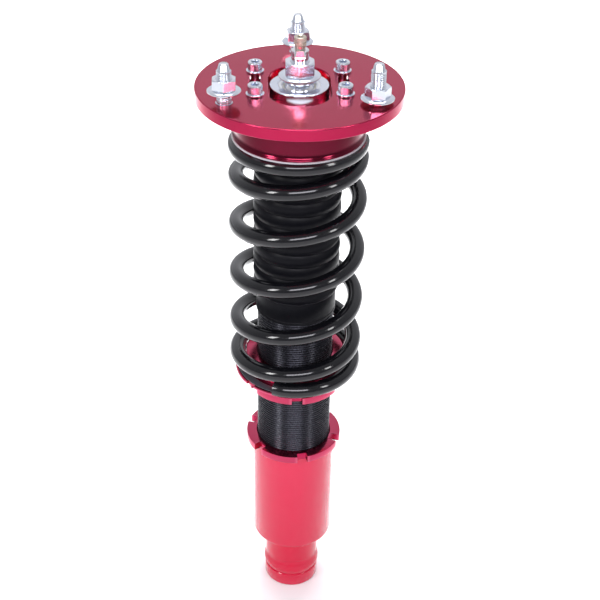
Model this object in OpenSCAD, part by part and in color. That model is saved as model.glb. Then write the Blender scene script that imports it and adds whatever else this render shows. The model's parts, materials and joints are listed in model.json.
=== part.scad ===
// Camber-adjustable monotube coilover strut, shown fully extended.
// Origin: centre of the stud circle on the top face of the camber plate.
// +Z points up through the strut tower and the plate slides along Y to set camber.

/* [Camber plate] */
// Diameter of the camber plate
plate_d = 140; // [138:0.5:146]
// Thickness of the camber plate
plate_t = 8.4; // [8:0.1:9]
// Distance of the strut axis from the plate centre along Y
camber_offset = 2.25; // [0:0.25:3]
// Camber travel towards -Y
camber_in = 4; // [2:0.5:4]
// Camber travel towards +Y
camber_out = 8; // [4:0.5:8]
// Diameter of the circle through the three tower studs
stud_circle = 114; // [112:0.5:116]

/* [Carrier] */
// Spacing of the carrier screws along X
screw_span_x = 59; // [58:0.5:60]
// Spacing of the carrier screws along Y
screw_span_y = 38; // [36:0.5:40]
// Outer radius of the bearing cup
cup_r = 20; // [19.5:0.1:20.2]
// Bore radius of the bearing cup
cup_bore_r = 14; // [13.8:0.1:14.2]
// Radius of the spherical bearing's ball
ball_r = 11.5; // [11:0.1:11.6]

/* [Spring] */
// Wire diameter of the main spring
wire_d = 11.5; // [10:0.1:12]
// Mean radius of the main spring
coil_r = 43; // [42.8:0.1:43.4]
// Distance between neighbouring middle coils
coil_pitch = 40.3; // [39:0.1:41]
// Height of the spring's ground top face
spring_top_z = -37.45; // [-37.5:0.01:-37.42]
// Height of the spring's ground bottom face
spring_foot_z = -225.85; // [-225.9:0.01:-225.8]

/* [Damper] */
// Outer radius of the threaded damper tube
tube_r = 27.77; // [27.7:0.01:27.8]
// Bore radius of the damper tube
tube_bore_r = 23.5; // [23.4:0.1:23.8]
// Height of the tube's top end
tube_top_z = -158; // [-158.2:0.1:-157.9]
// Height of the tube's bottom end
tube_foot_z = -365; // [-366:0.5:-360]
// Radius of the chromed piston rod
rod_r = 11; // [10.5:0.1:11]

/* [Lower mount] */
// Outer radius of the lower body
body_r = 31; // [30.5:0.1:32]
// Height of the lower body's top face
body_top_z = -295.9; // [-296.5:0.1:-295.9]
// Radius of the clamped foot
foot_r = 21.4; // [21:0.1:22]
// Height of the foot's bottom face
foot_z = -438.5; // [-440:0.5:-436]

/* [Hidden] */
$fn = 96;

run_gap = 0.05;       // radial clearance of every running fit
press_gap = 0.02;     // drawn clearance of pieces that are pressed together
notch_floor_r = 32;   // bottom of the spanner notches in both lock rings
seal_r = 16.5;        // outside of the rod seal in its guide
bush_r = 12.5;        // outside of the guide bush
wiper_r = 15;         // outside of the rod wiper in the gland nut
seal_h = 6;           // height of the rod seal
wiper_h = 4;          // depth of the wiper's pocket
band_floor_r = 22.5;  // bottom of the piston band's groove
slide_gap = 0.1;      // space between faces that slide or turn on each other
plate_chamfer = 0.8;  // edge chamfer of the camber plate

stud_shank_r = 5.6;   // splined shank pressed into the plate
stud_r = 5;           // plain shoulder that locates in the tower hole
stud_shoulder = 2;    // height of that shoulder
stud_thread_r = 4.8;  // M10 thread above it
stud_nuts_z = [2.2, 6.5, 7.5];  // each nut is run down by a different amount
stud_nut_turn = [30, 10, 0];    // and stops at a different angle

screw_slot_r = 3.5;   // half the width of the camber slots
screw_r = 3;          // M6 carrier screws
screw_head_r = 5;
screw_head_h = 6;
washer_top_z = 1.4;

carrier_top_z = -plate_t - slide_gap;
carrier_foot_z = -16.5;
race_h = 11;          // height of the race
ball_z = -8;          // centre of the spherical bearing
ball_half_h = 8;      // half the height between the ball's flats
liner_t = 1;          // thickness of the race liner
cup_top_z = -0.6;
spindle_r = 6;        // M12 top end of the piston rod
seat_top_z = -19.4;
seat_web = 5;         // thickness of the seat's clamped web
seat_z = -36.4;       // face that the thrust washer sits against
seat_cavity_r = 33;
nut_flange_z = 4.7;   // underside of the top nut

boot_top_z = -46.1;   // first valley of the bellows
boot_foot_z = -157.15;
boot_ribs = 11;
boot_valley_r = 29.5;
boot_rib_h = 1.5;     // how far each rib bulges past the valleys
boot_wall = 1.6;

piston_top_z = -211;
piston_h = 12;
rod_step_z = -205;    // shoulder that the piston stack is clamped against
rod_foot_z = -236;
adjuster_r = 2.5;

thread_r = tube_r + run_gap;    // bore of everything that screws onto the tube
collar_r = 36.2;                // outside radius of both lock rings
notch_w = 8;                    // width of the C-spanner notches
perch_top_z = -225.9;
perch_foot_z = -234.4;
ring_h = 5.8;                   // height of a lock ring

// A ring standing between two heights.
module ring(r_out, r_in, z0, z1) {
    translate([0, 0, z0])
        difference() {
            cylinder(r = r_out, h = z1 - z0);
            translate([0, 0, -1])
                cylinder(r = r_in, h = z1 - z0 + 2);
        }
}

// A plain cylinder between two heights.
module rod(r, z0, z1) {
    translate([0, 0, z0])
        cylinder(r = r, h = z1 - z0);
}

// A hexagonal prism between two heights, measured across its flats.
module hex(flats, z0, z1) {
    translate([0, 0, z0])
        cylinder(d = flats / cos(30), h = z1 - z0, $fn = 6);
}

// A slot with round ends that runs along Y from y0 to y1.
module slot_along_y(r, y0, y1, z0, z1) {
    translate([0, y0 + r, z0])
        cylinder(r = r, h = z1 - z0);
    translate([0, y1 - r, z0])
        cylinder(r = r, h = z1 - z0);
    translate([-r, y0 + r, z0])
        cube([2 * r, y1 - y0 - 2 * r, z1 - z0]);
}

// Places a piece on the strut's own axis.
module on_strut() {
    translate([0, camber_offset, 0])
        children();
}

// Places a piece at each tower stud; $i counts them.
module at_studs() {
    for (i = [0:2])
        rotate([0, 0, -30 + 120 * i])
            translate([stud_circle / 2, 0, 0]) {
                $i = i;
                children();
            }
}

// Places a piece at each carrier screw.
module at_screws() {
    on_strut()
        for (x = [-1, 1], y = [-1, 1])
            translate([x * screw_span_x / 2, y * screw_span_y / 2, 0])
                children();
}

// A flanged hex nut standing at height z.
module flange_nut(flats, flange_r, flange_h, hex_h, bore_r, z) {
    rim_h = flange_h * 0.45;
    difference() {
        union() {
            rod(flange_r, z, z + rim_h);
            translate([0, 0, z + rim_h])
                cylinder(r1 = flange_r, r2 = flats * 0.53, h = flange_h - rim_h);
            hex(flats, z + flange_h, z + flange_h + hex_h);
        }
        rod(bore_r, z - 1, z + flange_h + hex_h + 1);
    }
}

// Six notches for a C-spanner; the first one stands at the given angle.
module spanner_notches(r_out, r_in, z0, z1, angle) {
    for (i = [0:5])
        rotate([0, 0, angle + 60 * i])
            translate([r_in, -notch_w / 2, z0 - 1])
                cube([r_out - r_in + 3, notch_w, z1 - z0 + 2]);
}

// ---- top mount -----------------------------------------------------------

module top_plate() {
    r = plate_d / 2;
    c = plate_chamfer;
    cup_slot_r = cup_r + 0.75;
    slot_y0 = -34.95;
    slot_y1 = 31.05;
    screw_y = screw_span_y / 2;
    color("#8c1a38")
        difference() {
            rotate_extrude()
                polygon([
                    [0, 0], [r - c, 0], [r, -c], [r, -plate_t + c], [r - c, -plate_t], [0, -plate_t]
                ]);
            slot_along_y(cup_slot_r, slot_y0, slot_y1, -plate_t - 1, 1);
            for (x = [-1, 1])
                translate([x * screw_span_x / 2, camber_offset, 0])
                    slot_along_y(
                        screw_slot_r,
                        -screw_y - camber_in - screw_slot_r,
                        screw_y + camber_out + screw_slot_r,
                        -plate_t - 1, 1
                    );
            at_studs()
                rod(stud_shank_r, -plate_t - 1, 1);
        }
}

module tower_studs() {
    tip_z = 26.7;
    cone_h = 5.2;
    head_r = 8;
    head_h = 3;
    color("#c4c8d2")
        at_studs() {
            rod(head_r, -plate_t - head_h, -plate_t);
            rod(stud_shank_r, -plate_t, 0);
            rod(stud_r, 0, stud_shoulder);
            rod(stud_thread_r, stud_shoulder, tip_z - cone_h);
            translate([0, 0, tip_z - cone_h])
                cylinder(r1 = stud_thread_r, r2 = 3, h = cone_h);
        }
}

module stud_nuts() {
    flats = 15;
    color("#c4c8d2")
        at_studs()
            rotate([0, 0, stud_nut_turn[$i]])
                flange_nut(flats, 11.1, 2.4, 6.7, stud_thread_r + run_gap, stud_nuts_z[$i]);
}

// ---- carrier that slides under the plate ---------------------------------

module bearing_carrier() {
    w = 76;
    d = 52;
    corner_r = 8;
    color("#8c1a38")
        on_strut()
            difference() {
                union() {
                    translate([-w / 2, -d / 2 + corner_r, carrier_foot_z])
                        cube([w, d - 2 * corner_r, carrier_top_z - carrier_foot_z]);
                    translate([-w / 2 + corner_r, -d / 2, carrier_foot_z])
                        cube([w - 2 * corner_r, d, carrier_top_z - carrier_foot_z]);
                    for (x = [-1, 1], y = [-1, 1])
                        translate([x * (w / 2 - corner_r), y * (d / 2 - corner_r), 0])
                            rod(corner_r, carrier_foot_z, carrier_top_z);
                }
                rod(cup_r + press_gap, carrier_foot_z - 1, carrier_top_z + 1);
                for (x = [-1, 1], y = [-1, 1])
                    translate([x * screw_span_x / 2, y * screw_span_y / 2, 0])
                        rod(screw_r + run_gap, carrier_foot_z - 1, carrier_top_z + 1);
            }
}

module bearing_cup() {
    race_foot_z = ball_z - race_h / 2;
    groove_z = ball_z + race_h / 2;
    color("#c4c8d2")
        on_strut()
            difference() {
                rod(cup_r, carrier_foot_z, cup_top_z);
                rod(cup_bore_r, race_foot_z, cup_top_z + 1);
                rod(ball_r, carrier_foot_z - 1, race_foot_z + 1);
                rod(cup_bore_r + 0.8, groove_z, groove_z + 1.2);
            }
}

module bearing_race() {
    color("#d8dade")
        on_strut()
            difference() {
                rod(cup_bore_r, ball_z - race_h / 2, ball_z + race_h / 2);
                translate([0, 0, ball_z])
                    sphere(r = ball_r + liner_t + 2 * run_gap);
            }
}

module retaining_ring() {
    ring_z = ball_z + race_h / 2;
    color("#b0b4bc")
        on_strut()
            difference() {
                ring(cup_bore_r + 0.75, cup_bore_r - 1.8, ring_z + 0.05, ring_z + 1.15);
                translate([-2, 0, ring_z - 1])
                    cube([4, 20, 4]);
            }
}

module carrier_screws() {
    socket_flats = 5;
    socket_depth = 3.4;
    head_chamfer = 0.6;
    color("#c4c8d2")
        at_screws()
            difference() {
                union() {
                    rod(screw_r, carrier_foot_z + 0.1, washer_top_z);
                    rod(screw_head_r, washer_top_z, washer_top_z + screw_head_h - head_chamfer);
                    translate([0, 0, washer_top_z + screw_head_h - head_chamfer])
                        cylinder(r1 = screw_head_r, r2 = screw_head_r - head_chamfer, h = head_chamfer);
                }
                hex(socket_flats, washer_top_z + screw_head_h - socket_depth, 20);
            }
}

module screw_washers() {
    color("#c4c8d2")
        at_screws()
            ring(6.1, screw_r + 0.2, slide_gap / 2, washer_top_z);
}

// ---- spherical bearing ---------------------------------------------------

module race_liner() {
    half_h = race_h / 2 - 0.2;
    color("#e8e4d8")
        on_strut()
            difference() {
                intersection() {
                    translate([0, 0, ball_z])
                        sphere(r = ball_r + liner_t + run_gap);
                    rod(ball_r + 3, ball_z - half_h, ball_z + half_h);
                }
                translate([0, 0, ball_z])
                    sphere(r = ball_r + run_gap);
            }
}

module bearing_ball() {
    color("#e4e6ea")
        on_strut()
            difference() {
                intersection() {
                    translate([0, 0, ball_z])
                        sphere(r = ball_r);
                    rod(ball_r + 1, ball_z - ball_half_h, ball_z + ball_half_h);
                }
                rod(spindle_r, ball_z - ball_half_h - 1, ball_z + ball_half_h + 1);
            }
}

module upper_spacer() {
    neck_z = ball_z + ball_half_h;
    collar_z = 2.6;
    color("#c4c8d2")
        on_strut() {
            ring(8.2, spindle_r, neck_z, collar_z);
            ring(12, spindle_r, collar_z, nut_flange_z);
        }
}

module lower_spacer() {
    color("#c4c8d2")
        on_strut()
            ring(8.2, spindle_r, seat_top_z, ball_z - ball_half_h);
}

module top_nut() {
    color("#c4c8d2")
        on_strut()
            rotate([0, 0, 30])
                flange_nut(19, 14, 2.5, 8.5, spindle_r, nut_flange_z);
}

// ---- rod, upper seat and spring ------------------------------------------

module piston_rod() {
    tip_z = 23.8;
    flat_h = 4.6;
    flat_y = 4.6;
    shoulder_z = seat_top_z - seat_web;
    rod_chamfer = 1;
    color("#d8dade")
        on_strut()
            difference() {
                union() {
                    rod(spindle_r, shoulder_z, tip_z);
                    translate([0, 0, shoulder_z - rod_chamfer])
                        cylinder(r1 = rod_r, r2 = rod_r - rod_chamfer, h = rod_chamfer);
                    rod(rod_r, rod_step_z, shoulder_z - rod_chamfer);
                    rod(spindle_r, rod_foot_z, rod_step_z);
                }
                rod(adjuster_r + run_gap, rod_foot_z - 1, tip_z + 1);
                rod(3.6, 23, tip_z + 1);
                for (side = [-1, 1])
                    translate([-10, side * (flat_y + 5) - 5, tip_z - flat_h])
                        cube([20, 10, flat_h + 1]);
            }
}

module upper_spring_seat() {
    wall_r = 43.7;
    flare_r = 45.2;
    flare_z = -33.25;
    hub_r = 36.6;
    hub_z = -44;
    web_z = seat_top_z - seat_web;
    top_chamfer = 0.8;
    color("#5c0e22")
        on_strut()
            rotate_extrude()
                polygon([
                    [spindle_r, seat_top_z], [wall_r - top_chamfer, seat_top_z],
                    [wall_r, seat_top_z - top_chamfer], [wall_r, flare_z], [flare_r, flare_z - 0.9],
                    [flare_r, seat_z], [hub_r, seat_z], [hub_r, hub_z], [seat_cavity_r, hub_z],
                    [seat_cavity_r, web_z], [spindle_r, web_z]
                ]);
}

module thrust_washer() {
    color("#d0d0d4")
        on_strut()
            ring(45.9, 36.7, spring_top_z + 0.05, seat_z);
}

// How far the wire has dropped after s turns, in coil pitches. The pitch grows along a sine from
// the closed top coil, stays level in the middle and shrinks along a sine to the closed last coil.
lead_in = 2.5;
lead_out = 2.6;
wire_start = -0.25;
wire_end = 6.06;
level_from = wire_start + lead_in;
level_to = 3.5;
function eased(turns) = 2 * turns / PI;
function drop(s) =
    s < level_from ? eased(lead_in) * (1 - cos(90 * (s - wire_start) / lead_in))
    : s < level_to ? eased(lead_in) + s - level_from
    : eased(lead_in) + level_to - level_from
        + eased(lead_out) * cos(90 * (level_to + lead_out - s) / lead_out);
function wire_z(s) = -40.8 - coil_pitch * drop(s);

module spring() {
    sides = 12;
    per_turn = 26;
    rings = round((wire_end - wire_start) * per_turn);
    points = [
        for (i = [0:rings])
            let (s = wire_start + (wire_end - wire_start) * i / rings, turn = -90 - 360 * s)
                for (k = [0:sides - 1])
                    let (
                        a = 360 * k / sides,
                        r = coil_r + wire_d / 2 * cos(a),
                        z = wire_z(s) + wire_d / 2 * sin(a)
                    )
                        [r * cos(turn), r * sin(turn), max(spring_foot_z, min(spring_top_z, z))]
    ];
    walls = [
        for (i = [0:rings - 1], k = [0:sides - 1])
            let (a = i * sides + k, b = i * sides + (k + 1) % sides)
                [a, b, b + sides, a + sides]
    ];
    first = [for (k = [0:sides - 1]) sides - 1 - k];
    last = [for (k = [0:sides - 1]) rings * sides + k];
    color("#121214")
        on_strut()
            polyhedron(points, concat([first], walls, [last]), convexity = 12);
}

module bump_stop() {
    foot_z = -88.9;
    top_z = seat_top_z - seat_web - 1.05;
    waists = 4;
    steps = 8;
    length = top_z - foot_z;
    color("#d8c98a")
        on_strut()
            rotate_extrude()
                polygon(concat(
                    [[rod_r + 0.2, top_z]],
                    [
                        for (i = [0:waists * steps])
                            [
                                17.5 - 3 * i / (waists * steps) + 1.8 * cos(360 * i / steps),
                                top_z - length * i / (waists * steps)
                            ]
                    ],
                    [[rod_r + 0.2, foot_z]]
                ));
}

// Outline of the boot's ribs: half-sine bulges that meet in sharp valleys.
function boot_rib_line(inset) = [
    for (i = [0:boot_ribs - 1], k = [0:5])
        [
            boot_valley_r - inset + boot_rib_h * sin(30 * k),
            boot_top_z + (boot_foot_z - boot_top_z) * (i + k / 6) / boot_ribs
        ]
];

module dust_boot() {
    collar_top_z = seat_top_z - seat_web - 0.05;
    collar_r = seat_cavity_r - 0.05;
    inner = boot_rib_line(boot_wall);
    color("#161618")
        on_strut()
            rotate_extrude()
                polygon(concat(
                    [[collar_r, collar_top_z], [collar_r, boot_top_z + 3]],
                    boot_rib_line(0),
                    [[boot_valley_r, boot_foot_z], [boot_valley_r - boot_wall, boot_foot_z]],
                    [for (i = [len(inner) - 1:-1:0]) inner[i]],
                    [[collar_r - 2, boot_top_z + 3], [collar_r - 2, collar_top_z]]
                ));
}

// ---- inside the damper ---------------------------------------------------

module rebound_stop() {
    color("#c4c8d2")
        on_strut()
            ring(16, spindle_r, rod_step_z - 2.5, rod_step_z);
}

// A stack of thin discs that starts at z and grows or shrinks downwards.
module shims(radii, z) {
    t = 0.5;
    for (i = [0:len(radii) - 1])
        ring(radii[i], spindle_r, z - (i + 1) * t, z - i * t);
}

module rebound_shims() {
    color("#b8bcc4")
        on_strut()
            shims([11, 12.5, 14, 15.5, 17, 18.5, 18.5], rod_step_z - 2.5);
}

module piston() {
    ports = 6;
    color("#a8acb4")
        on_strut()
            difference() {
                rod(tube_bore_r - 0.2, piston_top_z - piston_h, piston_top_z);
                rod(spindle_r, piston_top_z - piston_h - 1, piston_top_z + 1);
                ring(tube_bore_r + 1, band_floor_r, piston_top_z - 9, piston_top_z - 3);
                for (i = [0:ports - 1])
                    rotate([0, 0, 360 * i / ports])
                        translate([14.5, 0, 0])
                            rod(2, piston_top_z - piston_h - 1, piston_top_z + 1);
            }
}

module piston_band() {
    color("#7a5a34")
        on_strut()
            ring(tube_bore_r - run_gap, band_floor_r, piston_top_z - 9, piston_top_z - 3);
}

module compression_shims() {
    color("#b8bcc4")
        on_strut()
            shims([18.5, 18.5, 17, 15.5, 14, 12.5, 11], piston_top_z - piston_h);
}

module piston_nut() {
    nut_z = piston_top_z - piston_h - 3.5;
    color("#c4c8d2")
        on_strut()
            difference() {
                hex(19, nut_z - 8, nut_z);
                rod(spindle_r, nut_z - 9, nut_z + 1);
            }
}

module adjuster_knob() {
    neck_z = 23.2;
    knob_z = 26.5;
    knob_top_z = 32.6;
    knob_r = 4.1;
    socket_flats = 3;
    chamfer = 0.4;
    color("#cbb98a")
        on_strut()
            difference() {
                union() {
                    rod(3.5, neck_z, knob_z);
                    rod(knob_r, knob_z, knob_top_z - chamfer);
                    translate([0, 0, knob_top_z - chamfer])
                        cylinder(r1 = knob_r, r2 = knob_r - chamfer, h = chamfer);
                }
                rod(adjuster_r, neck_z - 1, knob_z);
                hex(socket_flats, knob_top_z - 3.5, knob_top_z + 1);
            }
}

module adjuster_rod() {
    needle_h = 6;
    foot_z = -232;
    color("#d8dade")
        on_strut() {
            rod(adjuster_r, foot_z + needle_h, 26.5);
            translate([0, 0, foot_z])
                cylinder(r1 = 0.8, r2 = adjuster_r, h = needle_h);
        }
}

module threaded_tube() {
    color("#1a1a1e")
        on_strut()
            ring(tube_r, tube_bore_r, tube_foot_z, tube_top_z);
}

module boot_cuff() {
    top_z = boot_foot_z - 0.05;
    foot_z = -175.4;
    color("#161618")
        on_strut() {
            ring(28.9, tube_r + press_gap, foot_z, tube_top_z);
            ring(28.9, 25, tube_top_z, top_z);
        }
}

gland_top_z = -154;
gland_foot_z = -168;
guide_foot_z = -184;

module gland_nut() {
    pins = 4;
    color("#3a3c42")
        on_strut()
            difference() {
                union() {
                    rod(tube_bore_r, gland_foot_z, tube_top_z);
                    rod(22.5, tube_top_z, gland_top_z);
                }
                rod(rod_r + 0.3, gland_foot_z - 1, gland_top_z + 1);
                rod(wiper_r, gland_top_z - wiper_h, gland_top_z + 1);
                for (i = [0:pins - 1])
                    rotate([0, 0, 360 * i / pins])
                        translate([18.5, 0, 0])
                            rod(2, gland_top_z - 3.5, gland_top_z + 1);
            }
}

module rod_wiper() {
    color("#26262a")
        on_strut()
            ring(wiper_r, rod_r + run_gap, gland_top_z - wiper_h, gland_top_z - 0.5);
}

module rod_guide() {
    color("#a8acb4")
        on_strut()
            difference() {
                rod(tube_bore_r, guide_foot_z, gland_foot_z);
                rod(bush_r, guide_foot_z - 1, gland_foot_z + 1);
                rod(seal_r, guide_foot_z - 1, guide_foot_z + seal_h);
                ring(tube_bore_r + 1, 21, -177.3, -174.7);
            }
}

module guide_bush() {
    color("#7a5a34")
        on_strut()
            ring(bush_r, rod_r + run_gap, guide_foot_z + seal_h, gland_foot_z);
}

module rod_seal() {
    color("#26262a")
        on_strut()
            ring(seal_r - press_gap, rod_r + run_gap, guide_foot_z, guide_foot_z + seal_h);
}

module guide_oring() {
    color("#26262a")
        on_strut()
            translate([0, 0, -176])
                rotate_extrude()
                    translate([tube_bore_r - 1.25, 0])
                        circle(r = 1.2);
}

gas_piston_z = -318;
gas_piston_h = 18;

module floating_piston() {
    color("#a8acb4")
        on_strut()
            difference() {
                rod(tube_bore_r - run_gap, gas_piston_z, gas_piston_z + gas_piston_h);
                rod(17, gas_piston_z - 1, gas_piston_z + gas_piston_h - 6);
                ring(tube_bore_r + 1, 21, gas_piston_z + 10.7, gas_piston_z + 13.3);
            }
}

module gas_piston_oring() {
    color("#26262a")
        on_strut()
            translate([0, 0, gas_piston_z + 12])
                rotate_extrude()
                    translate([tube_bore_r - 1.3, 0])
                        circle(r = 1.2);
}

module base_plug() {
    plug_h = 12;
    color("#a8acb4")
        on_strut()
            difference() {
                rod(tube_bore_r, tube_foot_z, tube_foot_z + plug_h);
                rod(4, tube_foot_z - 1, tube_foot_z + plug_h + 1);
            }
}

module gas_valve() {
    color("#cbb98a")
        on_strut()
            difference() {
                rod(4, tube_foot_z + 1, tube_foot_z + 11);
                hex(4, tube_foot_z, tube_foot_z + 4);
            }
}

// ---- perch, lock rings and lower body ------------------------------------

module perch_lock_ring() {
    top_z = perch_foot_z - slide_gap;
    color("#8c1a38")
        on_strut()
            difference() {
                ring(collar_r, thread_r, top_z - ring_h, top_z);
                spanner_notches(collar_r, notch_floor_r, top_z - ring_h, top_z, -88);
            }
}

module lower_perch() {
    rim_r = 44.4;
    rim_top_r = 43.2;
    rim_foot_z = -228.45;
    pocket_r = 42.6;
    pocket_z = -227.4;
    boss_r = 36.6;
    boss_top_z = -214;
    hub_r = 36;
    color("#8c1a38")
        on_strut()
            difference() {
                rotate_extrude()
                    polygon([
                        [thread_r, boss_top_z], [boss_r - 1, boss_top_z], [boss_r, boss_top_z - 1],
                        [boss_r, pocket_z], [pocket_r, pocket_z], [pocket_r, perch_top_z],
                        [rim_top_r, perch_top_z], [rim_r, perch_top_z - 0.6], [rim_r, rim_foot_z],
                        [hub_r, rim_foot_z - 1.5], [hub_r, perch_foot_z], [thread_r, perch_foot_z]
                    ]);
                spanner_notches(rim_r, 42.8, perch_foot_z, perch_top_z, -79);
            }
}

module spring_isolator() {
    color("#3c424c")
        on_strut()
            ring(42.55, 36.65, -227.4, perch_top_z);
}

module lower_lock_ring() {
    top_z = body_top_z + slide_gap + ring_h;
    color("#8c1a38")
        on_strut()
            difference() {
                ring(collar_r, thread_r, top_z - ring_h, top_z);
                spanner_notches(collar_r, notch_floor_r, top_z - ring_h, top_z, -80);
            }
}

module lower_body() {
    shell_foot_z = -388.3;
    edge_r = 3;
    bore_z = -381;
    neck_r = 21;
    groove_r = 20.6;
    bead_r = 22.2;
    steps = 6;
    color("#c4153a")
        on_strut()
            rotate_extrude()
                polygon(concat(
                    [[0, bore_z], [thread_r, bore_z], [thread_r, body_top_z], [body_r - 0.6, body_top_z]],
                    [[body_r, body_top_z - 0.6]],
                    [
                        for (i = [0:steps])
                            [
                                body_r - edge_r + edge_r * cos(90 * i / steps),
                                shell_foot_z + edge_r - edge_r * sin(90 * i / steps)
                            ]
                    ],
                    [[neck_r, shell_foot_z], [neck_r, -413], [groove_r, -413.6], [groove_r, -416]],
                    [
                        for (i = [0:steps])
                            [
                                groove_r + (bead_r - groove_r) * sin(180 * i / steps),
                                -416 - 11 * i / steps
                            ]
                    ],
                    [[foot_r, -427], [foot_r, foot_z + 1], [foot_r - 1, foot_z], [0, foot_z]]
                ));
}

top_plate();
tower_studs();
stud_nuts();
bearing_carrier();
bearing_cup();
bearing_race();
retaining_ring();
carrier_screws();
screw_washers();
race_liner();
bearing_ball();
upper_spacer();
lower_spacer();
top_nut();
piston_rod();
upper_spring_seat();
thrust_washer();
spring();
bump_stop();
dust_boot();
rebound_stop();
rebound_shims();
piston();
piston_band();
compression_shims();
piston_nut();
adjuster_knob();
adjuster_rod();
threaded_tube();
boot_cuff();
gland_nut();
rod_wiper();
rod_guide();
guide_bush();
rod_seal();
guide_oring();
floating_piston();
gas_piston_oring();
base_plug();
gas_valve();
perch_lock_ring();
lower_perch();
spring_isolator();
lower_lock_ring();
lower_body();
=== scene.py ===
import json
import math

import bpy
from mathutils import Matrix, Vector


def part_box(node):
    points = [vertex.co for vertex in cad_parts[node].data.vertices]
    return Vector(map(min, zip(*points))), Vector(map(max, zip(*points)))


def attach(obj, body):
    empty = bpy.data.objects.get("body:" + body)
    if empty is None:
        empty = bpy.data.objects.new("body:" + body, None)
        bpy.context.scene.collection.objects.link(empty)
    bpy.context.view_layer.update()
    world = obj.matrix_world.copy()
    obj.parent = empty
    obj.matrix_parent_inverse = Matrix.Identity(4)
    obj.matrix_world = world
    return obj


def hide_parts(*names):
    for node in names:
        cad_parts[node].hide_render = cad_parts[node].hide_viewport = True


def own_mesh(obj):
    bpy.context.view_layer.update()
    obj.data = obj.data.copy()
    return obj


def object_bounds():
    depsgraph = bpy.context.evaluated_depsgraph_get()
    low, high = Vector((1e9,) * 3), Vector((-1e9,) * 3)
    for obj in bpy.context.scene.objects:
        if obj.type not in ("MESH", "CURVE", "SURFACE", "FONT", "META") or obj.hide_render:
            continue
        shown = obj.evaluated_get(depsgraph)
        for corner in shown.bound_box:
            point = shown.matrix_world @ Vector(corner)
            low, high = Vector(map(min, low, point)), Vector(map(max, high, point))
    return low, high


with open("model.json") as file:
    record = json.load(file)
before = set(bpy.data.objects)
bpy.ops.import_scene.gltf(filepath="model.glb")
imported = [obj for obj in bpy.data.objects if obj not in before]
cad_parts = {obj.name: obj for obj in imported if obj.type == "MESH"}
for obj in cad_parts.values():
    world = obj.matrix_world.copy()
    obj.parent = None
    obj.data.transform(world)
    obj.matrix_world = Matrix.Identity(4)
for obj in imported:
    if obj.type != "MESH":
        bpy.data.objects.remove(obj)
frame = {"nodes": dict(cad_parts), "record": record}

cad_low, cad_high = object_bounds()
MM = 0.001
RECORD = frame["record"]
SLOT_OF = {part["node"]: part["material_slot"] for part in RECORD["subparts"]}
JOINT = {joint["name"]: joint for joint in RECORD["behaviour"]["joints"]}


def span(node):
    """Lowest and highest z of a CAD node, in millimetres."""
    low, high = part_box(node)
    return low.z / MM, high.z / MM


def centre(node):
    """Middle of a CAD node in plan, in millimetres."""
    low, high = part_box(node)
    return (low.x + high.x) / 2 / MM, (low.y + high.y) / 2 / MM


def radius(node):
    """Outer radius of a round CAD node, in millimetres."""
    low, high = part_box(node)
    return (high.x - low.x) / 2 / MM


AXIS = centre("threaded_tube")


# ---- mesh helpers --------------------------------------------------------


def circle_angles(count, turn=0.0):
    return [turn + 2 * math.pi * i / count for i in range(count)]


def loop(r, z, angles, at=AXIS):
    """A loop of points round the axis at; r is a number or a function of the angle."""
    points = []
    for a in angles:
        reach = r(a) if callable(r) else r
        points.append((at[0] + reach * math.cos(a), at[1] + reach * math.sin(a), z))
    return points


def fillet(outline, size, steps=3, closed=False):
    """The outline with each of its corners rounded by up to the given size."""
    rounded = []
    last = len(outline) - 1
    for i, corner in enumerate(outline):
        if not closed and i in (0, last):
            rounded.append(corner)
            continue
        here = Vector(corner)
        before = Vector(outline[i - 1]) - here
        after = Vector(outline[(i + 1) % len(outline)]) - here
        reach = min(size, before.length * 0.45, after.length * 0.45)
        start = here + before.normalized() * reach
        end = here + after.normalized() * reach
        for k in range(steps + 1):
            t = k / steps
            point = start * (1 - t) ** 2 + here * (2 * t * (1 - t)) + end * t**2
            rounded.append(tuple(point))
    return rounded


class Shape:
    """Collects lofted surfaces and turns them into one mesh object."""

    def __init__(self):
        self.points = []
        self.faces = []

    def loft(self, loops, close=False, cap_first=False, cap_last=False):
        """Joins loops of the same length, each to the next one."""
        base = len(self.points)
        n = len(loops[0])
        for one in loops:
            self.points += one
        rows = len(loops)
        for j in range(rows if close else rows - 1):
            a, b = base + j * n, base + ((j + 1) % rows) * n
            for i in range(n):
                k = (i + 1) % n
                self.faces.append((a + i, a + k, b + k, b + i))
        if cap_first:
            self.fan(base, n, loops[0], True)
        if cap_last:
            self.fan(base + (rows - 1) * n, n, loops[-1], False)
        return self

    def fan(self, start, n, points, flip):
        middle = len(self.points)
        self.points.append(tuple(sum(p[k] for p in points) / n for k in range(3)))
        for i in range(n):
            k = (i + 1) % n
            a, b = (start + k, start + i) if flip else (start + i, start + k)
            self.faces.append((a, b, middle))

    def turned(self, outline, count=144, at=AXIS, turn=0.0, close=True, **caps):
        """A turned shape; outline is a list of (radius, z), up the outside and down any bore."""
        angles = circle_angles(count, turn)
        return self.loft([loop(r, z, angles, at) for r, z in outline], close=close, **caps)

    def build(self, name, material, body, replaces, sharp=38):
        mesh = bpy.data.meshes.new(name)
        mesh.from_pydata([tuple(c * MM for c in p) for p in self.points], [], self.faces)
        mesh.update()
        piece = bpy.data.objects.new(name, mesh)
        bpy.context.collection.objects.link(piece)
        mesh.materials.append(MATERIALS[material])
        mesh.shade_smooth()
        mesh.set_sharp_from_angle(angle=math.radians(sharp))
        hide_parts(*replaces)
        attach(piece, body)
        return piece


def hexagon(flats, turn):
    """Radius of a hexagon's outline, as a function of the angle."""
    sixth = math.pi / 3

    def reach(a):
        off = (a - turn + sixth / 2) % sixth - sixth / 2
        return flats / 2 / math.cos(off)

    return reach


def under(shape_radius, limit):
    """An outline that never reaches past a limit."""
    return lambda a: min(shape_radius(a), limit)


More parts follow.
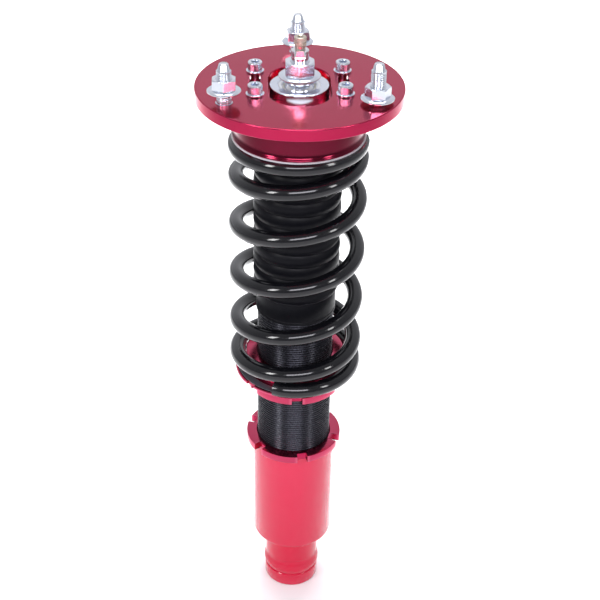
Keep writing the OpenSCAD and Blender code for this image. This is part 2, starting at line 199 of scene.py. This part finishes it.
ROWS_PER_PITCH = 7


def thread_rows(crest, depth, pitch, low, high):
    """Rows of a right-handed thread between two heights, its ends run out."""
    count = max(2, round((high - low) / pitch * ROWS_PER_PITCH))
    rows = []
    for j in range(count + 1):
        z = low + (high - low) * j / count
        runout = min(1.0, (z - low) / pitch, (high - z) / pitch)

        def reach(a, z=z, runout=runout):
            wave = 0.5 - 0.5 * math.cos(2 * math.pi * (z / pitch) - a)
            return crest - depth * runout * wave**1.3

        rows.append((reach, z))
    return rows


# ---- materials -----------------------------------------------------------


class Look:
    """A node material built step by step around one Principled shader."""

    def __init__(self, name):
        self.material = bpy.data.materials.new(name)
        self.material.use_nodes = True
        self.nodes = self.material.node_tree.nodes
        self.links = self.material.node_tree.links
        self.shader = self.nodes["Principled BSDF"]
        where = self.nodes.new("ShaderNodeTexCoord")
        centred = self.nodes.new("ShaderNodeMapping")
        centred.inputs["Location"].default_value = (-AXIS[0] * MM, -AXIS[1] * MM, 0)
        self.links.new(where.outputs["Object"], centred.inputs["Vector"])
        self.place = centred.outputs["Vector"]
        self.height = None

    def set(self, **values):
        for key, value in values.items():
            self.shader.inputs[key.replace("_", " ")].default_value = value
        return self

    def noise(self, scale, detail=4):
        node = self.nodes.new("ShaderNodeTexNoise")
        node.inputs["Scale"].default_value = scale
        node.inputs["Detail"].default_value = detail
        node.inputs["Roughness"].default_value = 0.55
        self.links.new(self.place, node.inputs["Vector"])
        return node.outputs["Fac"]

    def turning(self, scale):
        """Fine rings round the axis, as a lathe leaves them."""
        node = self.nodes.new("ShaderNodeTexWave")
        node.wave_type = "RINGS"
        node.rings_direction = "Z"
        node.inputs["Scale"].default_value = scale
        node.inputs["Distortion"].default_value = 0.6
        node.inputs["Detail"].default_value = 2
        self.links.new(self.place, node.inputs["Vector"])
        return node.outputs["Fac"]

    def turned_highlight(self, amount):
        """Highlights drawn out across the lathe's grooves."""
        around = self.nodes.new("ShaderNodeTangent")
        around.direction_type = "RADIAL"
        around.axis = "Z"
        self.links.new(around.outputs["Tangent"], self.shader.inputs["Tangent"])
        return self.set(Anisotropic=amount)

    def edges(self):
        """Where the surface bends outward; the tint laid there is edge wear on some materials and a painted
        edge highlight on others.
        """
        shape = self.nodes.new("ShaderNodeNewGeometry")
        return self.ramp(shape.outputs["Pointiness"], 0.52, 0.60, 0, 1)

    def ramp(self, value, low, high, out_low, out_high):
        node = self.nodes.new("ShaderNodeMapRange")
        node.inputs["From Min"].default_value = low
        node.inputs["From Max"].default_value = high
        node.inputs["To Min"].default_value = out_low
        node.inputs["To Max"].default_value = out_high
        self.links.new(value, node.inputs["Value"])
        return node.outputs["Result"]

    def mix(self, factor, first, second):
        node = self.nodes.new("ShaderNodeMix")
        node.data_type = "RGBA"
        self.links.new(factor, node.inputs[0])
        for socket, value in ((node.inputs[6], first), (node.inputs[7], second)):
            if isinstance(value, tuple):
                socket.default_value = (*value, 1)
            else:
                self.links.new(value, socket)
        return node.outputs[2]

    def colour(self, socket):
        self.links.new(socket, self.shader.inputs["Base Color"])
        return self

    def roughness(self, value, low, high):
        self.links.new(self.ramp(value, 0.3, 0.7, low, high), self.shader.inputs["Roughness"])
        return self

    def bump(self, value, distance):
        node = self.nodes.new("ShaderNodeBump")
        node.inputs["Distance"].default_value = distance * MM
        node.inputs["Strength"].default_value = 1.0
        self.links.new(value, node.inputs["Height"])
        if self.height:
            self.links.new(self.height, node.inputs["Normal"])
        self.height = node.outputs["Normal"]
        self.links.new(self.height, self.shader.inputs["Normal"])
        return self


def metal(name, light, dark, rough, coat=0.0, rings=0.0, edge_tint=None, grain=0.004, spots=60, lathe=0.0):
    """A metal whose colour drifts between two tones, with a fine surface and a lighter edge tint: worn edges
    on some metals, a painted edge highlight on the red anodising.
    """
    look = Look(name).set(Metallic=1.0, Coat_Weight=coat, Coat_Roughness=0.05)
    if lathe:
        look.turned_highlight(lathe)
    colour = look.mix(look.noise(spots), light, dark)
    if edge_tint:
        colour = look.mix(look.edges(), colour, edge_tint)
    look.colour(colour)
    look.roughness(look.noise(420, 5), *rough)
    look.bump(look.noise(1500, 3), grain)
    if rings:
        look.bump(look.turning(rings), grain * 0.6)
    return look.material


def plastic(name, light, dark, rough, grain, scale, coat=0.0, edge_tint=None, specular=0.5):
    """A plastic, rubber or paint with a fine moulded grain."""
    look = Look(name).set(Coat_Weight=coat, Coat_Roughness=0.04, Specular_IOR_Level=specular)
    colour = look.mix(look.noise(90), light, dark)
    if edge_tint:
        colour = look.mix(look.edges(), colour, edge_tint)
    look.colour(colour)
    look.roughness(look.noise(260, 5), *rough)
    look.bump(look.noise(scale, 4), grain)
    return look.material


MATERIALS = {
    # The lighter pink that red_anodised lays on convex edges is a painted edge highlight.
    "red_anodised": metal(
        "red_anodised", (0.48, 0.016, 0.075), (0.43, 0.013, 0.062), (0.15, 0.21),
        coat=0.2, rings=900, edge_tint=(0.72, 0.14, 0.24), lathe=0.6, grain=0.002,
    ),
    # seat_anodised is the red anodising painted darker, a painted shade for the seat wall's reflection of the
    # dark coil; its bright pink edge tint is a painted highlight.
    "seat_anodised": metal(
        "seat_anodised", (0.15, 0.005, 0.024), (0.12, 0.004, 0.019), (0.13, 0.19),
        coat=0.2, edge_tint=(0.85, 0.10, 0.26), grain=0.002,
    ),
    # The lighter red that red_lacquer lays on convex edges is a painted edge highlight.
    "red_lacquer": plastic(
        "red_lacquer", (0.56, 0.006, 0.040), (0.52, 0.005, 0.034), (0.16, 0.24),
        0.003, 500, coat=0.6, edge_tint=(0.76, 0.05, 0.12), specular=0.1,
    ),
    "zinc_steel": metal(
        "zinc_steel", (0.78, 0.82, 0.90), (0.68, 0.72, 0.82), (0.17, 0.25),
        edge_tint=(0.92, 0.93, 0.96), grain=0.001,
    ),
    "polished_steel": metal(
        "polished_steel", (0.84, 0.85, 0.88), (0.78, 0.79, 0.83), (0.12, 0.20), grain=0.001,
    ),
    "bare_aluminium": metal(
        "bare_aluminium", (0.70, 0.71, 0.73), (0.60, 0.61, 0.63), (0.22, 0.36), rings=700,
    ),
    "knob_brass": metal(
        "knob_brass", (0.66, 0.60, 0.49), (0.54, 0.48, 0.38), (0.18, 0.30), edge_tint=(0.84, 0.80, 0.70),
    ),
    "tube_black": metal(
        "tube_black", (0.022, 0.022, 0.028), (0.015, 0.015, 0.020), (0.22, 0.32),
        coat=0.1, edge_tint=(0.12, 0.12, 0.14),
    ),
    "spring_black": plastic(
        "spring_black", (0.004, 0.004, 0.006), (0.003, 0.003, 0.004), (0.12, 0.18),
        0.010, 350, coat=0.55, edge_tint=(0.02, 0.02, 0.024), specular=0.3,
    ),
    "boot_rubber": plastic(
        "boot_rubber", (0.005, 0.005, 0.007), (0.003, 0.003, 0.005), (0.34, 0.46),
        0.02, 900, edge_tint=(0.05, 0.05, 0.058), specular=0.12,
    ),
    "seal_rubber": plastic("seal_rubber", (0.02, 0.02, 0.02), (0.012, 0.012, 0.012), (0.4, 0.6), 0.01, 900),
    # The near-white tint that isolator_grey lays on convex edges is a painted edge highlight.
    "isolator_grey": plastic(
        "isolator_grey", (0.060, 0.070, 0.085), (0.045, 0.054, 0.066), (0.45, 0.6), 0.015, 800,
        edge_tint=(0.55, 0.56, 0.60),
    ),
    "thrust_plastic": plastic(
        "thrust_plastic", (0.62, 0.62, 0.65), (0.50, 0.50, 0.54), (0.3, 0.45), 0.01, 700,
    ),
    "liner_plastic": plastic("liner_plastic", (0.80, 0.78, 0.70), (0.7, 0.68, 0.6), (0.4, 0.5), 0.01, 700),
    "bump_foam": plastic("bump_foam", (0.62, 0.52, 0.26), (0.52, 0.43, 0.20), (0.7, 0.85), 0.12, 420),
    "band_bronze": plastic("band_bronze", (0.24, 0.14, 0.06), (0.18, 0.10, 0.04), (0.35, 0.5), 0.01, 600),
}

for node_name, node_object in frame["nodes"].items():
    node_object.data.materials.clear()
    node_object.data.materials.append(MATERIALS[SLOT_OF[node_name]])


# ---- top mount -----------------------------------------------------------

CUP_SLOT_SPARE = 0.75
CUP_SLOT_ENDS = (-34.95, 31.05)
SCREW_SLOT_R = 3.5
PLATE_EDGE = 0.7
STUD_SHANK_R = 5.6
SCREW_HEAD_R = 5.0
SPINDLE_R = 6
SEAT_WEB = 5


def obround(x, r, y0, y1, steps=40):
    """A slot with round ends along Y."""
    outline = []
    for middle, first in ((y1 - r, 0.0), (y0 + r, math.pi)):
        for k in range(steps + 1):
            a = first + math.pi * k / steps
            outline.append((x + r * math.cos(a), middle + r * math.sin(a)))
    return outline


def screw_centres():
    x0, y0 = centre("carrier_screws")
    low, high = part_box("carrier_screws")
    half_x = (high.x - low.x) / 2 / MM - SCREW_HEAD_R
    half_y = (high.y - low.y) / 2 / MM - SCREW_HEAD_R
    return [(x0 + sx * half_x, y0 + sy * half_y) for sx in (-1, 1) for sy in (-1, 1)]


def stud_centres():
    r = RECORD["mounts"][0]["dims"]["pcd_mm"] / 2
    angles = [math.radians(-30 + 120 * i) for i in range(3)]
    return [(r * math.cos(a), r * math.sin(a)) for a in angles]


def top_plate():
    low, high = span("top_plate")
    r = radius("top_plate")
    inward, outward = (end / MM for end in JOINT["camber_slide"]["range_m"])
    screws = screw_centres()
    ys = [y for _, y in screws]
    outlines = [[(r * math.cos(a), r * math.sin(a)) for a in circle_angles(360)]]
    outlines.append(obround(0, radius("bearing_cup") + CUP_SLOT_SPARE, *CUP_SLOT_ENDS))
    for x in sorted({round(x, 3) for x, _ in screws}):
        outlines.append(
            obround(x, SCREW_SLOT_R, min(ys) + inward - SCREW_SLOT_R, max(ys) + outward + SCREW_SLOT_R)
        )
    for x, y in stud_centres():
        outlines.append([
            (x + STUD_SHANK_R * math.cos(a), y + STUD_SHANK_R * math.sin(a)) for a in circle_angles(48)
        ])
    flat = bpy.data.curves.new("plate_outline", "CURVE")
    flat.dimensions = "2D"
    flat.fill_mode = "BOTH"
    for outline in outlines:
        line = flat.splines.new("POLY")
        line.points.add(len(outline) - 1)
        for point, (x, y) in zip(line.points, outline):
            point.co = (x * MM, y * MM, 0, 1)
        line.use_cyclic_u = True
    flat.extrude = ((high - low) / 2 - PLATE_EDGE) * MM
    flat.bevel_depth = PLATE_EDGE * MM
    flat.bevel_resolution = 3
    flat.offset = -PLATE_EDGE * MM
    pattern = bpy.data.objects.new("plate_pattern", flat)
    bpy.context.collection.objects.link(pattern)
    bpy.context.view_layer.update()
    solid = bpy.data.meshes.new_from_object(pattern.evaluated_get(bpy.context.evaluated_depsgraph_get()))
    bpy.data.objects.remove(pattern)
    for vertex in solid.vertices:
        vertex.co.z += (low + high) / 2 * MM
    piece = bpy.data.objects.new("camber_plate", solid)
    bpy.context.collection.objects.link(piece)
    solid.materials.clear()
    solid.materials.append(MATERIALS["red_anodised"])
    solid.shade_smooth()
    solid.set_sharp_from_angle(angle=math.radians(30))
    weld = piece.modifiers.new("weld", "WELD")
    weld.merge_threshold = 0.00001
    flatten = piece.modifiers.new("flatten", "WEIGHTED_NORMAL")
    flatten.keep_sharp = True
    flatten.weight = 100
    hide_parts("top_plate")
    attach(piece, "top_mount")


def tower_studs():
    low, high = span("tower_studs")
    head_r = 8
    head_top = low + 3
    crest, depth, pitch = 4.95, 0.75, 1.5
    shape = Shape()
    for at in stud_centres():
        rows = fillet([(0.5, low), (head_r, low), (head_r, head_top), (STUD_SHANK_R, head_top)], 0.6)
        rows += [(STUD_SHANK_R, 0), (5, 0.1), (5, 1.9)]
        rows += thread_rows(crest, depth, pitch, 2, high - 5)
        rows += [(4.5, high - 4.7), (4.1, high - 4.2), (3.1, high - 0.5), (2.7, high)]
        shape.turned(rows, 48, at=at, close=False, cap_first=True, cap_last=True)
    shape.build("studs_threaded", "zinc_steel", "top_mount", ["tower_studs"], sharp=75)


def nut_rows(flats, flange_r, bore_r, z, flange_h, hex_h, turn):
    """A flanged nut: rounded flange, chamfered hexagon and countersunk bore."""
    top = z + flange_h + hex_h
    side = hexagon(flats, turn)
    corner = flats / 2 / math.cos(math.pi / 6)
    rows = [(bore_r, z), (flange_r - 0.5, z), (flange_r, z + 0.5), (flange_r, z + 0.9)]
    rows += [(flange_r - 0.4, z + 1.25), (flats * 0.60, z + flange_h * 0.93)]
    rows.append((under(side, corner * 0.99), z + flange_h))
    cut = corner - flats / 2 * 0.97
    crown = cut * math.tan(math.radians(30))
    steps = 5
    rows.append((side, z + flange_h + 0.4))
    for k in range(steps + 1):
        z_k = top - crown * (1 - k / steps)
        rows.append((under(side, corner - cut * k / steps), z_k))
    rows += [(bore_r + 0.8, top), (bore_r, top - 0.8)]
    return rows


def stud_nuts():
    shape = Shape()
    low = span("stud_nuts")[0]
    drops = (0.0, 4.3, 5.3)
    turns = (0, 40, 30)
    for at, drop, turn in zip(stud_centres(), drops, turns):
        rows = nut_rows(15, 11.1, 4.9, low + drop, 2.4, 6.7, math.radians(30 + turn))
        shape.turned(rows, 120, at=at, turn=math.radians(turn))
    shape.build("flange_nuts", "zinc_steel", "top_mount", ["stud_nuts"], sharp=25)


# ---- carrier and spherical bearing ---------------------------------------


def carrier_screws():
    low, high = span("carrier_screws")
    seat = span("screw_washers")[1]
    knurl = 0.12
    shape = Shape()
    socket = hexagon(5, 0)

    def ribbed(a):
        return SCREW_HEAD_R - knurl * (0.5 - 0.5 * math.cos(a * 36))

    for at in screw_centres():
        rows = [(3, low + 0.5), (3, seat), (4.7, seat), (4.95, seat + 0.3)]
        rows += [(ribbed, seat + 0.6), (ribbed, high - 1.2), (4.95, high - 0.9)]
        rows += [(4.75, high - 0.35), (4.35, high), (3.3, high), (3.0, high - 0.25)]
        rows += [(socket, high - 0.5), (socket, high - 3.4), (0.6, high - 3.9)]
        shape.turned(rows, 144, at=at, close=False, cap_first=True, cap_last=True)
    shape.build("cap_screws", "zinc_steel", "carrier", ["carrier_screws"], sharp=28)


def screw_washers():
    low, high = span("screw_washers")
    shape = Shape()
    for at in screw_centres():
        shape.turned(fillet([(3.2, low), (6.1, low), (6.1, high), (3.2, high)], 0.25, closed=True), 72, at=at)
    shape.build("plain_washers", "zinc_steel", "carrier", ["screw_washers"])


def bearing_cup():
    low, high = span("bearing_cup")
    ledge = span("bearing_race")[0]
    inner, pocket, outer = 11.5, 14, 20
    outline = [(inner, low), (outer, low), (outer, high), (pocket, high), (pocket, ledge), (inner, ledge)]
    Shape().turned(fillet(outline, 0.9, closed=True)).build(
        "cup_housing", "zinc_steel", "carrier", ["bearing_cup"]
    )


def upper_spacer():
    low, high = span("upper_spacer")
    neck_r, collar_r = 8.2, 12
    step = 2.6
    outline = [
        (SPINDLE_R, low), (neck_r, low), (neck_r, step), (collar_r, step), (collar_r, high),
        (SPINDLE_R, high),
    ]
    Shape().turned(fillet(outline, 0.3, closed=True)).build(
        "stepped_spacer", "zinc_steel", "strut_top", ["upper_spacer"]
    )


def retaining_ring():
    """A snap ring, open over the gap at +Y."""
    low, high = span("retaining_ring")
    gap = math.radians(9)
    angles = [math.pi / 2 + gap + (2 * math.pi - 2 * gap) * i / 120 for i in range(121)]
    section = fillet([(12.2, low), (14.7, low), (14.7, high), (12.2, high)], 0.2, closed=True)
    ring = Shape()
    n = len(section)
    for a in angles:
        ring.points += [(AXIS[0] + r * math.cos(a), AXIS[1] + r * math.sin(a), z) for r, z in section]
    for j in range(len(angles) - 1):
        for i in range(n):
            k = (i + 1) % n
            ring.faces.append((j * n + k, j * n + i, (j + 1) * n + i, (j + 1) * n + k))
    ring.faces.append(tuple(range(n)))
    ring.faces.append(tuple(len(angles) * n - 1 - i for i in range(n)))
    ring.build("snap_ring", "polished_steel", "carrier", ["retaining_ring"])


def top_nut():
    low = span("top_nut")[0]
    rows = nut_rows(19, 14, 6.05, low, 2.5, 8.5, math.radians(60))
    Shape().turned(rows, 144, turn=math.radians(30)).build(
        "centre_nut", "zinc_steel", "strut_top", ["top_nut"], sharp=25
    )


def piston_rod():
    low, high = span("piston_rod")
    shoulder = span("upper_spring_seat")[1] - SEAT_WEB
    step = span("rebound_stop")[1]
    flat_low = high - 4.6
    flat_half = 4.6
    bore, pocket_r, rod_r = 2.6, 3.6, 11
    pocket_floor = 23
    rows = [(bore, low), (5.6, low), (SPINDLE_R, low + 0.4), (SPINDLE_R, step), (10.5, step)]
    rows += [(rod_r, step + 0.5), (rod_r, shoulder - 1), (10, shoulder), (SPINDLE_R, shoulder)]
    rows.append((SPINDLE_R, flat_low))
    for z, r in ((flat_low + 0.01, 5.9), (high - 0.7, 5.9), (high, 5.2)):
        rows.append((lambda a, r=r: min(r, flat_half / max(abs(math.sin(a)), 0.01)), z))
    rows += [(pocket_r, high), (pocket_r, pocket_floor + 0.05), (bore, pocket_floor)]
    Shape().turned(rows, 96).build("chromed_rod", "polished_steel", "strut_top", ["piston_rod"])


def adjuster_knob():
    low, high = span("adjuster_knob")
    grip_low = 26.5
    diamonds = 20
    rise = 12
    rows = [(2.5, low), (3.3, low), (3.5, low + 0.2), (3.5, grip_low - 0.3), (3.2, grip_low - 0.1)]
    rows += [(3.8, grip_low)]
    steps = 26
    for k in range(steps + 1):
        t = k / steps
        edge = min(1.0, t * 6, (1 - t) * 6)

        def reach(a, t=t, edge=edge):
            lean = rise * t
            first = abs(math.sin(a * diamonds / 2 + lean))
            second = abs(math.sin(a * diamonds / 2 - lean))
            return 4.1 - 0.30 * edge * (1 - min(first, second)) - 0.15 * (1 - edge)

        rows.append((reach, grip_low + 0.2 + (high - grip_low - 0.5) * t))
    rows += [(3.7, high - 0.05), (3.4, high), (2.0, high), (1.8, high - 0.2)]
    socket = hexagon(3, 0)
    rows += [(socket, high - 0.35), (socket, high - 3.4), (0.4, high - 3.6)]
    Shape().turned(rows, 180, close=False, cap_first=True, cap_last=True).build(
        "knurled_knob", "knob_brass", "adjuster", ["adjuster_knob"], sharp=50
    )


# ---- seat, spring and boot -----------------------------------------------


def upper_spring_seat():
    low, high = span("upper_spring_seat")
    seat = span("thrust_washer")[1]
    web = high - SEAT_WEB
    outline = [
        (SPINDLE_R, web), (33, web), (33, low), (36.6, low), (36.6, seat), (45.2, seat), (45.2, seat + 0.9),
        (44.8, seat + 1.5), (44.3, seat + 2.2), (43.9, seat + 3.2), (43.7, seat + 4.4), (43.7, high),
        (SPINDLE_R, high),
    ]
    # The seat takes seat_anodised: a darker copy of the red anodising (painted shade) with painted edge
    # highlights.
    Shape().turned(fillet(outline, 0.6, closed=True), 192).build(
        "seat_turned", "seat_anodised", "strut_top", ["upper_spring_seat"]
    )


def thrust_washer():
    low, high = span("thrust_washer")

    def serrated(a):
        return 45.9 - 0.22 * (0.5 - 0.5 * math.cos(a * 160))

    rows = [(36.7, low), (45.3, low), (serrated, low + 0.15)]
    rows += [(serrated, high - 0.15), (45.3, high), (36.7, high)]
    Shape().turned(rows, 960).build("thrust_ring", "thrust_plastic", "strut_top", ["thrust_washer"])


WIRE_R = 5.75
COIL_R = 43.0
PITCH = 40.3
WIRE_START = -0.25
WIRE_END = 6.06
LEAD_IN = 2.5
LEAD_OUT = 2.6
LEVEL_TO = 3.5
FIRST_WIRE_Z = -40.8


def wire_drop(s):
    """How far the wire has dropped after s turns, in pitches; the law matches the CAD spring."""
    level_from = WIRE_START + LEAD_IN
    quarter = math.pi / 2
    if s < level_from:
        return LEAD_IN / quarter * (1 - math.cos(quarter * (s - WIRE_START) / LEAD_IN))
    if s < LEVEL_TO:
        return LEAD_IN / quarter + s - level_from
    fall = LEAD_OUT / quarter * math.cos(quarter * (LEVEL_TO + LEAD_OUT - s) / LEAD_OUT)
    return LEAD_IN / quarter + LEVEL_TO - level_from + fall


def spring():
    low, high = span("spring")
    sides = 28
    per_turn = 96
    count = round((WIRE_END - WIRE_START) * per_turn)
    loops = []
    for i in range(count + 1):
        s = WIRE_START + (WIRE_END - WIRE_START) * i / count
        turn = -math.pi / 2 - 2 * math.pi * s
        section = []
        rounding = min(1.0, 0.93 + min(i, count - i) * 0.035)
        for k in range(sides):
            a = 2 * math.pi * k / sides
            r = COIL_R + WIRE_R * rounding * math.cos(a)
            z = FIRST_WIRE_Z - PITCH * wire_drop(s) + WIRE_R * rounding * math.sin(a)
            z = max(low, min(high, z))
            section.append((AXIS[0] + r * math.cos(turn), AXIS[1] + r * math.sin(turn), z))
        loops.append(section)
    piece = Shape().loft(loops, cap_first=True, cap_last=True).build(
        "main_coil", "spring_black", "main_spring", ["spring"], sharp=40
    )
    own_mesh(piece)


RIBS = 11
RIB_TOP = -46.1
RIB_VALLEY_R = 29.5
RIB_H = 1.5


def dust_boot():
    low, high = span("dust_boot")
    steps = 10
    outer = []
    for i in range(RIBS * steps + 1):
        swell = abs(math.sin(math.pi * i / steps)) ** 0.75
        outer.append((RIB_VALLEY_R + RIB_H * swell, low + (RIB_TOP - low) * i / (RIBS * steps)))
    inner = [(r - 1.6, z) for r, z in reversed(outer)]
    mouth_r = 32.9
    mouth_low = RIB_TOP + 3
    mouth = [(mouth_r, mouth_low), (mouth_r, high), (mouth_r - 2, high), (mouth_r - 2, mouth_low)]
    piece = Shape().turned(outer + mouth + inner, 144).build(
        "boot_bellows", "boot_rubber", "strut_top", ["dust_boot"], sharp=60
    )
    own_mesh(piece)


def boot_cuff():
    low, high = span("boot_cuff")
    tube_top = span("threaded_tube")[1]
    inner, outer, lip = 27.78, 28.9, 25
    outline = [
        (inner, low), (28.5, low), (outer, low + 0.5), (outer, low + 2.2), (28.55, low + 2.6),
        (outer, low + 3.0), (outer, high - 0.4), (28.4, high), (lip, high), (lip, tube_top),
        (inner, tube_top),
    ]
    Shape().turned(fillet(outline, 0.15, closed=True), 144).build(
        "cuff_sleeve", "boot_rubber", "damper", ["boot_cuff"]
    )


# ---- damper and collars --------------------------------------------------


def threaded_tube():
    low, high = span("threaded_tube")
    plain_top = span("boot_cuff")[0] + 1.5
    bore = 23.5
    crest, depth, pitch = 27.77, 0.75, 2.0
    rows = [(bore, low), (26.6, low), (27.0, low + 0.6)]
    rows += thread_rows(crest, depth, pitch, low + 0.8, plain_top)
    rows += [(crest, plain_top + 0.2), (crest, high), (bore, high)]
    Shape().turned(rows, 96).build("tube_threaded", "tube_black", "damper", ["threaded_tube"], sharp=70)


NOTCH_HALF = 4.0
COLLAR_BORE_R = 27.84
COLLAR_MOUTH_R = 28.6


def notched(r_out, r_in, first_deg):
    """Angles and radii of a collar's outline with six spanner notches."""
    outline = []
    per_land = 24
    for i in range(6):
        middle = math.radians(first_deg + 60 * i)
        following = middle + math.pi / 3
        for r, side in ((r_out, -1), (r_in, -1), (r_in, 1), (r_out, 1)):
            outline.append((r, middle + side * math.asin(NOTCH_HALF / r)))
        start = middle + math.asin(NOTCH_HALF / r_out)
        end = following - math.asin(NOTCH_HALF / r_out)
        for k in range(1, per_land):
            outline.append((r_out, start + (end - start) * k / per_land))
    return outline


def collar(name, node, body, first_deg, outer, notch_r, rows, bore):
    """A notched collar; rows are (z, inset from the outline), then plain (z, radius) rows."""
    outline = notched(outer, notch_r, first_deg)
    loops = []
    for z, inset in rows:
        loops.append([
            (AXIS[0] + (r - inset) * math.cos(a), AXIS[1] + (r - inset) * math.sin(a), z) for r, a in outline
        ])
    for z, r_in in bore:
        loops.append([(AXIS[0] + r_in * math.cos(a), AXIS[1] + r_in * math.sin(a), z) for _, a in outline])
    shape = Shape().loft(loops, close=True)
    shape.build(name, "red_anodised", body, [node], sharp=30)


def lock_ring(name, node, body, first_deg):
    low, high = span(node)
    edge = 0.45
    turn = 0.13
    rows = [(low, edge), (low + turn, turn), (low + edge, 0)]
    rows += [(high - edge, 0), (high - turn, turn), (high, edge)]
    bore = [(high, COLLAR_MOUTH_R), (high - 0.7, COLLAR_BORE_R)]
    bore += [(low + 0.7, COLLAR_BORE_R), (low, COLLAR_MOUTH_R)]
    collar(name, node, body, first_deg, 36.2, 32, rows, bore)


def lower_perch():
    low, high = span("lower_perch")
    rim_top = span("spring_isolator")[1]
    rim_low = -228.45
    pocket = span("spring_isolator")[0]
    rows = [(rim_low, 0.35), (rim_low + 0.35, 0), (rim_top - 0.75, 0), (rim_top - 0.35, 0.5), (rim_top, 1.2)]
    bore = [
        (rim_top - 0.02, 42.62), (pocket, 42.6), (pocket, 36.6), (high - 1, 36.6), (high - 0.3, 36.3),
        (high, 35.6), (high, COLLAR_MOUTH_R), (high - 0.8, COLLAR_BORE_R), (low + 0.6, COLLAR_BORE_R),
        (low, 28.4), (low, 35.6), (low + 0.4, 36), (rim_low - 1.5, 36), (rim_low, 42.2),
    ]
    collar("perch_turned", "lower_perch", "perch", -79, 44.4, 42.85, rows, bore)


def spring_isolator():
    low, high = span("spring_isolator")
    section = fillet([(36.65, low), (42.55, low), (42.55, high), (36.65, high)], 0.3, closed=True)
    Shape().turned(section, 144).build("isolator_ring", "isolator_grey", "perch", ["spring_isolator"])


def lower_body():
    low, high = span("lower_body")
    shell_low = -388.3
    outline = [
        (27.82, -381), (27.82, high - 0.6), (28.4, high), (30.4, high), (31, high - 0.6), (31, shell_low + 3),
        (30.77, shell_low + 1.85), (30.12, shell_low + 0.88), (29.15, shell_low + 0.23), (28, shell_low),
        (21.6, shell_low), (21, shell_low - 0.8), (21, -412.6),
        (20.6, -413.2), (20.6, -416),
    ]
    steps = 14
    for k in range(1, steps):
        outline.append((20.6 + 1.6 * math.sin(math.pi * k / steps), -416 - 11 * k / steps))
    outline += [(20.7, -426.9), (21.35, -427.5), (21.4, -428.2)]
    outline += [(21.4, low + 1.2), (21.0, low + 0.4), (20.2, low)]
    shape = Shape().turned(outline[::-1], 192, close=False, cap_first=True, cap_last=True)
    shape.build("body_shell", "red_lacquer", "lower_strut", ["lower_body"], sharp=30)


top_plate()
tower_studs()
stud_nuts()
carrier_screws()
screw_washers()
bearing_cup()
upper_spacer()
retaining_ring()
top_nut()
piston_rod()
adjuster_knob()
upper_spring_seat()
thrust_washer()
spring()
dust_boot()
boot_cuff()
threaded_tube()
lock_ring("perch_lock_collar", "perch_lock_ring", "perch_ring", -88)
lock_ring("lower_lock_collar", "lower_lock_ring", "lower_ring", -80)
lower_perch()
spring_isolator()
lower_body()


# ---- stage, lights and camera --------------------------------------------


def floor():
    mesh = bpy.data.meshes.new("floor")
    half = 60.0
    z = cad_low.z - 0.0005
    corners = [(-half, -half, z), (half, -half, z), (half, half, z), (-half, half, z)]
    mesh.from_pydata(corners, [], [(0, 1, 2, 3)])
    ground = bpy.data.objects.new("floor", mesh)
    bpy.context.collection.objects.link(ground)
    look = Look("floor_white").set(Roughness=0.9)
    look.colour(look.mix(look.noise(3), (0.93, 0.93, 0.93), (0.90, 0.90, 0.91)))
    mesh.materials.append(look.material)


def area_light(name, place, target, size, power, colour=(1, 1, 1)):
    lamp = bpy.data.lights.new(name, "AREA")
    lamp.shape = "RECTANGLE"
    lamp.size, lamp.size_y = size
    lamp.energy = power
    lamp.color = colour
    holder = bpy.data.objects.new(name, lamp)
    holder.location = place
    holder.rotation_euler = (Vector(target) - Vector(place)).to_track_quat("-Z", "Y").to_euler()
    bpy.context.collection.objects.link(holder)
    return holder


def lights():
    middle = (0, 0, -0.15)
    area_light("key_left", (-1.25, -1.05, 0.75), middle, (0.35, 0.7), 12)
    area_light("key_right", (1.25, -1.0, 0.7), middle, (0.3, 0.6), 6)
    area_light("front_strip", (0.0, -1.5, 0.85), middle, (1.2, 0.5), 17, (0.94, 0.93, 1.0))
    overhead = area_light("overhead", (0, 0.85, 1.6), (0, 0.85, 0), (1.4, 1.1), 15)
    overhead.data.spread = math.radians(55)
    fill = area_light("front_fill", (0, -1.6, 0.5), middle, (2.2, 1.6), 2)
    fill.visible_glossy = False
    world = bpy.data.worlds.new("studio")
    world.use_nodes = True
    nodes = world.node_tree.nodes
    links = world.node_tree.links
    place = nodes.new("ShaderNodeTexCoord")
    split = nodes.new("ShaderNodeSeparateXYZ")
    ramp = nodes.new("ShaderNodeMapRange")
    ramp.inputs["From Min"].default_value = -0.5
    ramp.inputs["From Max"].default_value = 0.9
    ramp.inputs["To Min"].default_value = 0.32
    ramp.inputs["To Max"].default_value = 0.85
    links.new(place.outputs["Generated"], split.inputs[0])
    links.new(split.outputs["Y"], ramp.inputs["Value"])
    links.new(ramp.outputs["Result"], nodes["Background"].inputs["Strength"])
    nodes["Background"].inputs["Color"].default_value = (0.94, 0.95, 1.0, 1)
    bpy.context.scene.world = world


def camera():
    lens = bpy.data.cameras.new("camera")
    lens.lens = 80.21
    lens.sensor_width = 36
    lens.shift_x = 0.069
    holder = bpy.data.objects.new("camera", lens)
    holder.location = (-0.02712, -0.82005, 0.3596)
    look_down = 32.85
    holder.rotation_euler = (math.radians(90 - look_down), 0, 0)
    bpy.context.collection.objects.link(holder)
    bpy.context.scene.camera = holder


floor()
lights()
camera()
bpy.context.scene.view_settings.view_transform = "Standard"
